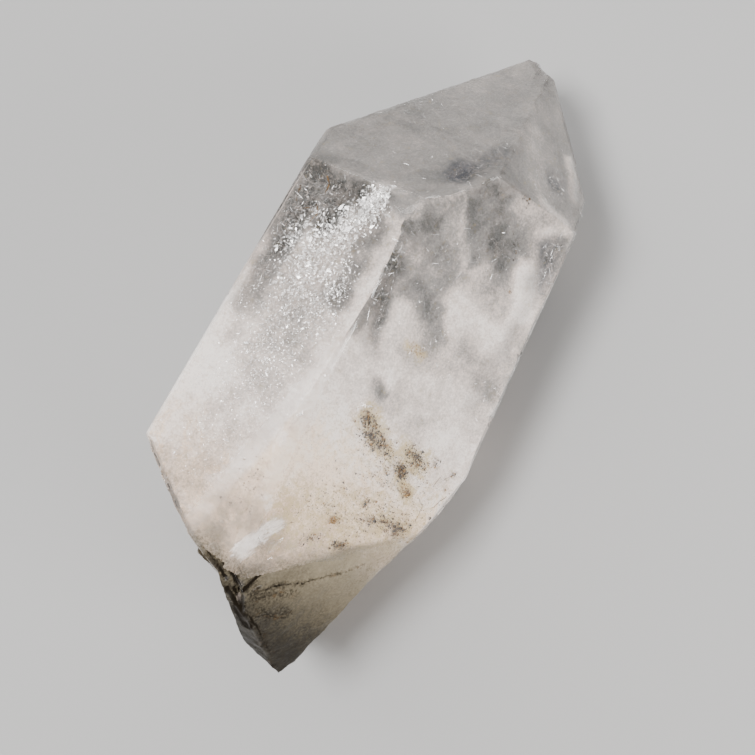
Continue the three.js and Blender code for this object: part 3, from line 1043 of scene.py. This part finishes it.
def on_worn_ridge(points):
    """1 along the two edges of the flat to which the ridge is worn near the base, and 0 away from them."""
    worn = WORN_RIDGE[1] - (points - AXIS) @ unit(WORN_RIDGE[0])
    near = np.zeros(len(points))
    for name in ("upper", "right"):
        normal, distance = face_plane(name)
        near = np.maximum(near, ease(3.5, 1, distance - (points - AXIS) @ normal) * ease(3.5, 1, worn))
    return near * ease(-50, -62, points[:, 1] - AXIS[1])


def face_sheen(mesh):
    """The painted sheen of each of a mesh's faces, by the grown face that it lies on."""
    turned = face_normals(mesh)
    sheen = np.zeros(len(turned))
    for name, amount in SHEEN.items():
        sheen = np.where(turned @ Face(name).normal > 0.97, amount, sheen)
    middles = face_middles(mesh)
    sheen = np.maximum(sheen, SHEEN["tip_upper"] * on_chip(middles))
    return sheen * (1 - 0.75 * most(BLUISH, middles, turned))


def on_tail(points):
    """1 on the stained broken faces of the tail and 0 elsewhere."""
    off = points - AXIS
    near = np.full(len(points), np.inf)
    for name in BREAKS:
        normal, distance = face_plane(name)
        near = np.minimum(near, np.abs(off @ normal - distance))
    below = ease(-132, -138, off[:, 1] + 0.2 * off[:, 0])
    return np.maximum(ease(2.6, 1.4, near), below) * breakage(points)


def stain_strength(points):
    """How strongly the tail is stained: fully at its end, and weaker towards its right shoulder."""
    off = points - AXIS
    return 1 - 0.6 * ease(-8, 16, off @ Face("tail_front").across) * ease(-128, -112, off[:, 1])


def on_outer_edges(points):
    """1 near the faces whose edges get the painted pale rim highlight, and 0 away from them."""
    off = points - AXIS
    near = np.full(len(points), np.inf)
    for name in FACES:
        if name not in CRISP_FACES:
            normal, distance = face_plane(name)
            near = np.minimum(near, distance - off @ normal)
    return ease(2.5, 1, near)


def past_border(points, normals):
    """How far each point lies past the line where the stain begins, in millimetres; -9 away from it."""
    off = points - AXIS
    past = np.full(len(points), -9.0)
    for name, line in STAIN_BORDERS.items():
        face = Face(name)
        border = np.interp(off @ face.across, *zip(*line))
        facing = ease(0.3, 0.6, normals @ face.normal)
        past = np.maximum(past, (np.clip(border - off[:, 1], -9, 9) + 9) * facing - 9)
    return past


def past_chip(points):
    """How far outside the chip's round surface each point lies, in millimetres."""
    return np.linalg.norm(points - AXIS - CHIP_MIDDLE, axis=-1) - CHIP_RADIUS


def on_chip(points):
    """1 on the chip at the upper corner and 0 away from it."""
    return ease(0.6, 0.25, past_chip(points))


# How dark the quartz looks under the tip's faces and under the chip.
TIP_TONE = 0.56
CHIP_TONE = 0.5


def tone_of(moved, points, normals):
    """How dark the quartz looks, from 0 in the whitest milk to 1 in the darkest windows."""
    along = points[:, 1] - AXIS[1]
    tip = ease(0.3, 0.5, normals[:, 1])
    upper = ease(0.8, 0.95, normals @ Face("upper").normal)
    prism = (0.04 + 0.38 * ease(-105, -22, along) ** 1.2) * (1 - 0.45 * upper)
    prism = prism + 0.36 * ease(-98, -130, along)
    tone = prism + (TIP_TONE - prism) * tip
    lively = 1 - 0.6 * tip
    tone = tone * (1 + 0.25 * lively * Noise(14).at(points, 18, 3)) + 0.05 * Noise(15).at(points, 9, 3)
    for stroke in TONES:
        tone = tone + (stroke.amount - tone) * stroke.over(moved, normals)
    tone = tone + (CHIP_TONE - tone) * on_chip(points)
    tone = tone * (1 + 0.3 * lively * Noise(16).at(points, 5, 4))
    return np.clip(tone + 0.05 * lively * Noise(17).at(points, 8, 4), 0, 1)


def build_skin():
    """The glassy outside of the crystal, with fine relief where it is broken."""
    sizes = settings().skin
    mesh = cut_into_cells(sizes.cell * MM, sizes.cuts)
    mesh.name = "quartz_skin"
    places, ends = vertex_places(mesh), edge_ends(mesh)
    sharp = sharpness(mesh)
    broken = breakage(in_part(places))
    weight = ease(SHARP_FROM, SHARP_TO, sharp) * sizes.rounding * (1 - 0.5 * broken)
    places = smoothed(places, ends, 2, weight)
    tip = ease(43, 47, in_part(places)[:, 1] - AXIS[1])
    places = smoothed(places, ends, 2, 0.6 * tip)
    places = smoothed(places, ends, 8, 0.9 * on_worn_ridge(in_part(places)) * (1 - broken))
    points = in_part(places)
    relief = broken * sizes.relief * MM
    rough = 0.5 + 0.35 * Noise(3).at(points, 2.4, 3) + 0.3 * Noise(4).at(points, 7, 2)
    worn = ease(SHARP_FROM, SHARP_TO, sharp) * (0.10 + 0.10 * Noise(5).at(points, 3, 2)) * MM
    normals = vertex_normals(mesh)
    places = places - normals * (relief * np.clip(rough, 0, 1.4) + worn)[:, None]
    set_places(mesh, places)
    sharpen(mesh, broken)
    write(mesh, "broken", smoothed(broken, ends, 2, 0.5))
    points = in_part(places)
    write(mesh, "grown", 1 - broken)
    middles = face_middles(mesh)
    turned = face_normals(mesh)
    grown_side = np.maximum(turned @ Face("right").normal, turned @ Face("upper").normal)
    write(mesh, "tail", on_tail(middles) * ease(0.99, 0.975, grown_side), "FACE")
    write(mesh, "stain", stain_strength(points))
    past = past_border(points, normals)
    write(mesh, "past", past)
    flake = ease(0, 1, past) * ease(0.6, 0.8, normals @ Face("upper").normal)
    moved = warped(points)
    tone = tone_of(moved, points, normals)
    milky = 1 - ease(0.15, 0.5, tone)
    write(mesh, "milky", milky)
    write(mesh, "haze", 0.03 + 0.15 * milky)
    write(mesh, "rust", most(RUST, points, normals))
    along = points[:, 1] - AXIS[1]
    ridge_out = unit(Face("upper").normal + Face("right").normal)
    ridge = ease(0.8, 0.9, normals @ ridge_out) * ease(-40, -55, along)
    edge = ease(SHARP_FROM, SHARP_TO, sharp) * (1 - broken) * (1 - ridge)
    write(mesh, "edge", edge)
    # Painted pale rim highlight: faint on every sharp grown edge, strong near the outer faces and on the
    # break's steep edges.
    rim_highlights = np.maximum(edge * (0.06 + 0.8 * on_outer_edges(points)), 0.35 * ease(25, 50, sharp) * broken)
    write(mesh, "rim", np.clip(1.6 * smoothed(rim_highlights, ends, 2, 0.6), 0, 1))
    write(mesh, "frosted", on_worn_ridge(points))
    # Painted silky highlight at the ridge's end.
    write(mesh, "silk", SILK_HIGHLIGHT.over(points, normals))
    # Darker towards the tail's end, and a little past the stain's border on the upper face.
    write(mesh, "deep", ease(-105, -152, along) + 0.25 * flake)
    # Painted sheen, face by face.
    write(mesh, "sheen", face_sheen(mesh), "FACE")
    skin = new_piece("quartz_skin", mesh)
    mesh.materials.append(skin_look(sizes, settings().flakes))
    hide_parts(NODE)


# The stretch of the axis that the milk sinks towards, how far points are pushed for cloudy borders, and how
# deep the wisps hang, as a share of the clouds' depth. All in millimetres but the share.
CORE_FROM, CORE_TO = -95, -15
CLOUD_PUSH = 1.3
WISP_DEPTH = 0.45
# The largest share of the way to the core that the milk sinks.
DEEPEST_SHARE = 0.55


def inward(points):
    """For each point the middle of the crystal that it sinks towards."""
    middle = np.zeros_like(points)
    middle[:, 1] = np.clip(points[:, 1] - AXIS[1], CORE_FROM, CORE_TO)
    return middle + AXIS


def warped(points):
    """Points pushed about by noise, so that soft patches get cloudy borders."""
    push = [Noise(seed).at(points, 6, 4) for seed in (11, 12, 13)]
    return points + CLOUD_PUSH * np.stack(push, axis=1)


def edge_gap(points):
    """How far inside the second nearest face each point lies, in millimetres: small near the real edges."""
    off = points - AXIS
    planes = [face_plane(name) for name in FACES]
    gaps = np.array([distance - off @ normal for normal, distance in planes])
    return np.partition(gaps, 1, axis=0)[1]


def build_clouds():
    """The milk under the skin, deep below the clear windows."""
    colours = settings().clouds
    mesh = cut_into_cells(settings().skin.cell * MM, settings().skin.cuts)
    mesh.name = "milky_clouds"
    places, ends, normals = vertex_places(mesh), edge_ends(mesh), vertex_normals(mesh)
    points = in_part(places)
    along = points[:, 1] - AXIS[1]
    moved = warped(points)
    tone = tone_of(moved, points, normals)
    corners = read(mesh.loops, "vertex_index", kind=int)
    corner_normals = np.repeat(face_normals(mesh), 3, axis=0)
    corner_tone = tone_of(moved[corners], points[corners], corner_normals)
    depth = colours.least + (colours.deepest - colours.least) * tone ** 1.4
    depth = depth + 1.2 * ease(0.8, 0.95, normals @ Face("upper").normal)
    depth = depth * (0.4 + 0.6 * ease(0.2, 2.4, edge_gap(points)))
    middle = inward(points)
    way = middle - points
    length = np.linalg.norm(way, axis=1)
    slope = np.clip(-np.sum(normals * way, axis=1) / length, 0.45, 1)
    share = np.clip(depth / slope / length, 0, DEEPEST_SHARE)
    sunk = points + way * smoothed(share, ends, 3, 0.5)[:, None]
    sunk = smoothed(sunk, ends, 3, 0.5)
    wisps = mesh.copy()
    set_places(wisps, (points + WISP_DEPTH * (sunk - points)) * MM)
    set_places(mesh, sunk * MM)
    write(mesh, "tone", corner_tone, "CORNER")
    write(mesh, "calm", 0.35 * ease(0.3, 0.5, normals[:, 1]))
    write(mesh, "rust", most(RUST, moved, normals))
    crackled = most(CRACKLED, moved, normals)
    write(mesh, "crackled", crackled)
    write(mesh, "blue", most(BLUISH, points, normals))
    write(mesh, "tail", stain_strength(points) * smoothed(on_tail(points), ends, 2, 0.5))
    lower_right = ease(0.6, 0.9, normals @ Face("right").normal) * ease(-66, -100, along)
    # No warm tint under the painted silky highlight.
    silk = SILK_HIGHLIGHT.over(points, normals)
    write(mesh, "warm", (0.6 * lower_right + 0.95 * ease(-84, -125, along)) * (1 - silk))
    sharpen(mesh, breakage(points))
    new_piece("milky_clouds", mesh)
    mesh.materials.append(cloud_look(colours))
    veil = smoothed(ease(0.2, 0.5, tone), ends, 2, 0.5)
    write(wisps, "veil", veil)
    write(wisps, "crackled", crackled)
    keep_where(wisps, veil > 0.02)
    wisps.name = "milky_wisps"
    wisps.shade_smooth()
    new_piece("milky_wisps", wisps)
    wisps.materials.append(wisp_look(colours))


def keep_where(mesh, kept):
    """Deletes the faces of a mesh that have no vertex in the kept part."""
    work = bmesh.new()
    work.from_mesh(mesh)
    spare = [face for face in work.faces if not any(kept[vertex.index] for vertex in face.verts)]
    bmesh.ops.delete(work, geom=spare, context="FACES")
    work.to_mesh(mesh)
    work.free()


class Flakes:
    """Collects many small flat flakes that lie under the skin, as one mesh."""

    def __init__(self, seed):
        self.random = np.random.default_rng(seed)
        self.work = bmesh.new()
        self.shade = self.work.verts.layers.float.new("shade")
        skin = bpy.data.objects["quartz_skin"].data
        faces = [tuple(polygon.vertices) for polygon in skin.polygons]
        self.skin = BVHTree.FromPolygons([vertex.co for vertex in skin.vertices], faces)

    def place_in(self, patch):
        """A random place near the patch, more often near its middle."""
        face = patch.face
        share = self.random.random()
        off = self.random.normal(0, 0.6, 2) * patch.radius
        return patch.start + (patch.end - patch.start) * share + off[0] * face.across + off[1] * face.up

    def add(self, place, depth, size, tilt, shade=0, corners=6, stretch=1.0, facing=None):
        """One flake with an uneven rim, at a depth under the skin. All sizes are in millimetres."""
        near, normal, _, _ = self.skin.find_nearest(Vector(place * MM))
        middle = near - normal * depth * MM
        lean = Vector(self.random.normal(0, math.tan(math.radians(tilt)), 3))
        facing = ((facing or normal) + lean).normalized()
        side = facing.orthogonal().normalized()
        side = Matrix.Rotation(self.random.uniform(0, math.tau), 3, facing) @ side
        other = facing.cross(side)
        ring = []
        for k in range(corners):
            turn = math.tau * (k + self.random.uniform(-0.3, 0.3)) / corners
            reach = size * MM * self.random.uniform(0.35, 0.65)
            offset = side * (math.cos(turn) * reach * stretch) + other * (math.sin(turn) * reach)
            vertex = self.work.verts.new(middle + offset)
            vertex[self.shade] = shade
            ring.append(vertex)
        self.work.faces.new(ring)

    def finish(self, name, material):
        """Makes the piece."""
        mesh = as_mesh(self.work, name)
        mesh.materials.append(material)
        return new_piece(name, mesh)


# The flakes of the sparkling veil all face about the same way.
VEIL_NORMAL = (0.093, -0.112, 0.989)
# How far fractures lean, in degrees.
FRACTURE_TILT = 30


def build_glitter():
    """The sparkling veil under the upper face, and fine fractures in the clear quartz."""
    sizes = settings().flakes
    flakes = Flakes(21)
    facing = Vector(VEIL_NORMAL)
    for patch, count, scale in GLITTER:
        for _ in range(count):
            size = scale * sizes.glint * flakes.random.lognormal(0, 0.45)
            depth = flakes.random.uniform(0.1, 0.9)
            solid = flakes.random.uniform(0.15, 1)
            stretch = flakes.random.uniform(0.8, 2.4)
            place = flakes.place_in(patch)
            if past_chip(place) > 0.3:
                flakes.add(place, depth, size, sizes.tilt, solid, 4, stretch, facing)
    for patch, count, length, solid in FRACTURES:
        for _ in range(count):
            width = 0.15 * flakes.random.lognormal(0, 0.4)
            stretch = length * flakes.random.lognormal(0, 0.5) / width
            depth = flakes.random.uniform(0.1, 2.2)
            own = solid * flakes.random.uniform(0.6, 2)
            flakes.add(flakes.place_in(patch), depth, width, FRACTURE_TILT, own, 4, stretch)
    flakes.finish("glitter_veil", glitter_look())


# Where iron has stained the skin.
RUST = patches([
    ("right", [
        ((-8.5, -78.5), (-2, -82), 4.2, 0.8),
        ((-2, -82), (5, -84.5), 3.2, 0.7),
        ((10.5, -81), (17.3, -83), 3.6, 0.8),
        ((11, -86), (12.5, -87.5), 2.6, 0.9),
        ((15, -90.5), (18, -91.5), 2.4, 0.9),
        ((5.8, -99.3), (7.5, -100.5), 1.8, 0.6),
        ((-2.2, -108.6), (-0.4, -107.8), 1.3, 1.0),
        ((14, -102.6), (23, -101.4), 3.4, 0.7),
        ((2.5, -114.6), (7, -112.8), 2.4, 0.7),
        ((-14, -112), (24, -100), 11, 0.5),
        ((-10, -88), (24, -90), 9, 0.25),
        ((-7.4, -55), (-0.5, -55.6), 2, 0.6),
        ((2, -83.5), (14, -86), 6, 0.45),
    ]),
])


# Clusters of iron specks. Each row ends with how many, their size in millimetres and the darkest shade.
SPECKS = scattered([
    ("right", [
        ((-9, -78), (-7, -79.5), 1.5, 26, 0.34, 1.0),
        ((-6, -80), (-0.5, -83), 2.9, 92, 0.34, 1.0),
        ((0, -82.5), (5, -84.5), 1.8, 34, 0.3, 1.0),
        ((10.4, -80.5), (12, -81.5), 1.8, 26, 0.34, 1.0),
        ((13, -81), (17.5, -83.2), 2.0, 44, 0.34, 0.9),
        ((10.5, -86), (12.5, -87.5), 1.5, 46, 0.4, 1.0),
        ((15.6, -90.6), (17.6, -91.6), 1.3, 24, 0.36, 0.6),
        ((20.5, -79), (21.5, -80), 1.5, 12, 0.32, 1.0),
        ((28.6, -80.1), (28.7, -80.2), 0.7, 5, 0.34, 1.0),
        ((5.5, -99.2), (7.2, -100.2), 1.0, 14, 0.3, 0.9),
        ((-2.0, -108.7), (-0.6, -107.9), 0.6, 34, 0.42, 0.42),
        ((15, -102.6), (22.5, -101.5), 2.2, 90, 0.3, 0.9),
        ((8, -103.8), (12, -102.8), 1.6, 36, 0.28, 0.9),
        ((2.5, -114.6), (7, -112.8), 1.2, 44, 0.3, 0.9),
        ((-8, -118), (-2, -114), 1.8, 30, 0.26, 0.9),
        ((-4, -90), (26, -88), 9, 260, 0.17, 0.9),
        ((-10, -106), (24, -99), 8, 460, 0.18, 0.95),
        ((-7.4, -55), (-0.5, -55.6), 1.2, 20, 0.24, 0.4),
        ((2.6, -1.3), (6.8, -2.6), 0.9, 6, 0.34, 1.0),
        ((7, -12), (12, -19), 1.2, 5, 0.34, 1.0),
        ((14.8, -26), (15.2, -26.4), 0.5, 5, 0.36, 0.5),
    ]),
    ("upper", [((12, -104), (16, -118), 7, 90, 0.16, 0.9)]),
    ("right", [
        ((-8.6, -78.5), (-7.4, -80.5), 1.6, 5, 0.7, 1.0),
        ((-5, -80.5), (2, -84), 2.2, 5, 0.62, 1.0),
        ((-7, -82), (-1, -85), 2.4, 30, 0.3, 1.0),
        ((10.5, -81), (16.5, -83), 2.2, 5, 0.6, 1.0),
        ((11, -85.5), (12.2, -87.8), 1.3, 6, 0.68, 1.0),
        ((16, -102.4), (22, -101.6), 2.2, 7, 0.5, 1.0),
        ((3, -114.4), (6.5, -113), 1.2, 4, 0.5, 1.0),
        ((0, -88), (14, -90), 4, 80, 0.2, 0.9),
    ]),
])


# How many more specks than counted there are, the largest in millimetres, and how far they lean in degrees.
SPECK_SHARE = 2.6
LARGEST_SPECK = 0.9
SPECK_TILT = 8


def build_specks():
    """Iron stains just under the skin."""
    flakes = Flakes(31)
    for patch, count, size, darkest in SPECKS:
        for _ in range(int(SPECK_SHARE * count)):
            own = min(0.9 * size * flakes.random.lognormal(0, 0.5), LARGEST_SPECK)
            shade = darkest * flakes.random.random() ** 0.5
            place = flakes.place_in(patch)
            depth = flakes.random.uniform(0.03, 0.15)
            stretch = flakes.random.uniform(0.8, 1.9)
            flakes.add(place, depth, own, SPECK_TILT, shade, 5, stretch)
    flakes.finish("iron_specks", speck_look(settings().flakes))


def look_along(location, target):
    """A place and turn for a lamp that shines from the location to the target, in metres."""
    way = Vector(target) - Vector(location)
    return Matrix.Translation(location) @ way.to_track_quat("-Z", "Y").to_matrix().to_4x4()


# The camera stands where the photographer's did: its axes and place in the part's frame.
CAMERA_RIGHT = (0.81023554, 0.47883288, -0.3379903)
CAMERA_UP = (-0.40048689, 0.87335604, 0.27723541)
CAMERA_BACK = (0.4279353, -0.08926529, 0.8993904)
CAMERA_PLACE = (0.206901, -0.052989, 0.454112)
PICTURE_WIDTH = 755
FOCAL_PIXELS = 1550
FLOOR_HALF = 2.5
FLOOR_GAP = 0.05

# Each soft lamp: its place from the crystal's middle along the camera's axes, and its two sides, in metres.
LAMPS = {
    "key": ((-0.5, 0.15, 0.85), (0.45, 0.4)),
    "fill": ((0.65, -0.35, 0.7), (0.5, 0.4)),
    "rim": ((0.25, 1.0, 0.25), (0.8, 0.3)),
    "back": ((-0.91, 1.32, -0.04), (1.6, 1.0)),
}
CRYSTAL_MIDDLE = (0, 0, 0.043)
SENSOR_WIDTH = 36


def camera_way(right, up, back):
    """A direction given along the camera's own axes."""
    axes = (Vector(CAMERA_RIGHT), Vector(CAMERA_UP), Vector(CAMERA_BACK))
    return axes[0] * right + axes[1] * up + axes[2] * back


def add_lamp(name, place, size, power):
    """A soft lamp at a place along the camera's axes from the crystal's middle."""
    middle = Vector(CRYSTAL_MIDDLE)
    lamp = bpy.data.lights.new(name, "AREA")
    lamp.shape = "RECTANGLE"
    lamp.size, lamp.size_y = size
    lamp.energy = power
    holder = link(bpy.data.objects.new(name, lamp))
    holder.matrix_world = look_along(middle + camera_way(*place), middle)
    holder.visible_camera = False


def floor_look(colour):
    """Smooth pale paper."""
    look = Look("pale_floor")
    tone = look.noise(60, detail=3)
    shade = look.blend(tone * 0.08, colour, tuple(0.9 * part for part in colour))
    return look.done(look.principled(shade, Roughness=0.75, Specular_IOR_Level=0.3))


def build_stage():
    """The floor, the lamps, the room and the camera."""
    sizes = settings().stage
    work = bmesh.new()
    bmesh.ops.create_grid(work, x_segments=8, y_segments=8, size=FLOOR_HALF)
    mesh = as_mesh(work, "floor")
    mesh.materials.append(floor_look(sizes.floor))
    floor = link(bpy.data.objects.new("floor", mesh))
    floor.location.z = -FLOOR_GAP * MM
    for name, (place, size) in LAMPS.items():
        add_lamp(name + "_lamp", place, size, getattr(sizes, name))
    world = bpy.data.worlds.new("room")
    world.use_nodes = True
    background = world.node_tree.nodes["Background"]
    background.inputs["Color"].default_value = (1, 0.99, 0.98, 1)
    background.inputs["Strength"].default_value = sizes.room
    bpy.context.scene.world = world
    camera = bpy.data.cameras.new("camera")
    camera.sensor_width = SENSOR_WIDTH
    camera.lens = SENSOR_WIDTH * FOCAL_PIXELS / PICTURE_WIDTH
    camera.clip_start = 0.01
    holder = link(bpy.data.objects.new("camera", camera))
    axes = Matrix((CAMERA_RIGHT, CAMERA_UP, CAMERA_BACK)).transposed()
    holder.matrix_world = Matrix.Translation(CAMERA_PLACE) @ axes.to_4x4()
    bpy.context.scene.camera = holder


class QUARTZ_OT_skin(bpy.types.Operator):
    """Makes the glassy skin of the crystal"""

    bl_idname = "quartz.skin"
    bl_label = "Glassy skin"

    def execute(self, context):
        build_skin()
        return {"FINISHED"}


class QUARTZ_OT_clouds(bpy.types.Operator):
    """Makes the milky clouds inside the crystal"""

    bl_idname = "quartz.clouds"
    bl_label = "Milky clouds"

    def execute(self, context):
        build_clouds()
        return {"FINISHED"}


class QUARTZ_OT_glitter(bpy.types.Operator):
    """Makes the sparkling veil under the upper face"""

    bl_idname = "quartz.glitter"
    bl_label = "Glitter veil"

    def execute(self, context):
        build_glitter()
        return {"FINISHED"}


class QUARTZ_OT_specks(bpy.types.Operator):
    """Makes the iron specks under the skin"""

    bl_idname = "quartz.specks"
    bl_label = "Iron specks"

    def execute(self, context):
        build_specks()
        return {"FINISHED"}


class QUARTZ_OT_stage(bpy.types.Operator):
    """Makes the floor, the lamps and the camera"""

    bl_idname = "quartz.stage"
    bl_label = "Stage"

    def execute(self, context):
        build_stage()
        return {"FINISHED"}


class QUARTZ_PT_panel(bpy.types.Panel):
    """Lists the crystal's pieces"""

    bl_idname = "QUARTZ_PT_panel"
    bl_label = "Quartz crystal point"
    bl_space_type = "VIEW_3D"
    bl_region_type = "UI"
    bl_category = "Quartz"

    def draw(self, context):
        kept = context.scene.quartz_settings
        for operator, group in PANEL_ROWS:
            self.layout.operator(operator.bl_idname)
            if group:
                sizes = getattr(kept, group)
                for name in sizes.__annotations__:
                    self.layout.prop(sizes, name)


PANEL_ROWS = [
    (QUARTZ_OT_stage, "stage"),
    (QUARTZ_OT_skin, "skin"),
    (QUARTZ_OT_clouds, "clouds"),
    (QUARTZ_OT_glitter, "flakes"),
    (QUARTZ_OT_specks, None),
]
CLASSES = [
    SkinSizes,
    CloudColours,
    FlakeSizes,
    StageSizes,
    QuartzSettings,
    QUARTZ_OT_skin,
    QUARTZ_OT_clouds,
    QUARTZ_OT_glitter,
    QUARTZ_OT_specks,
    QUARTZ_OT_stage,
    QUARTZ_PT_panel,
]


def register():
    for item in CLASSES:
        bpy.utils.register_class(item)
    bpy.types.Scene.quartz_settings = PointerProperty(type=QuartzSettings)


def unregister():
    del bpy.types.Scene.quartz_settings
    for item in reversed(CLASSES):
        bpy.utils.unregister_class(item)


def main():
    register()
    bpy.ops.quartz.stage()
    bpy.ops.quartz.skin()
    bpy.ops.quartz.clouds()
    bpy.ops.quartz.glitter()
    bpy.ops.quartz.specks()


if __name__ == "__main__":
    main()
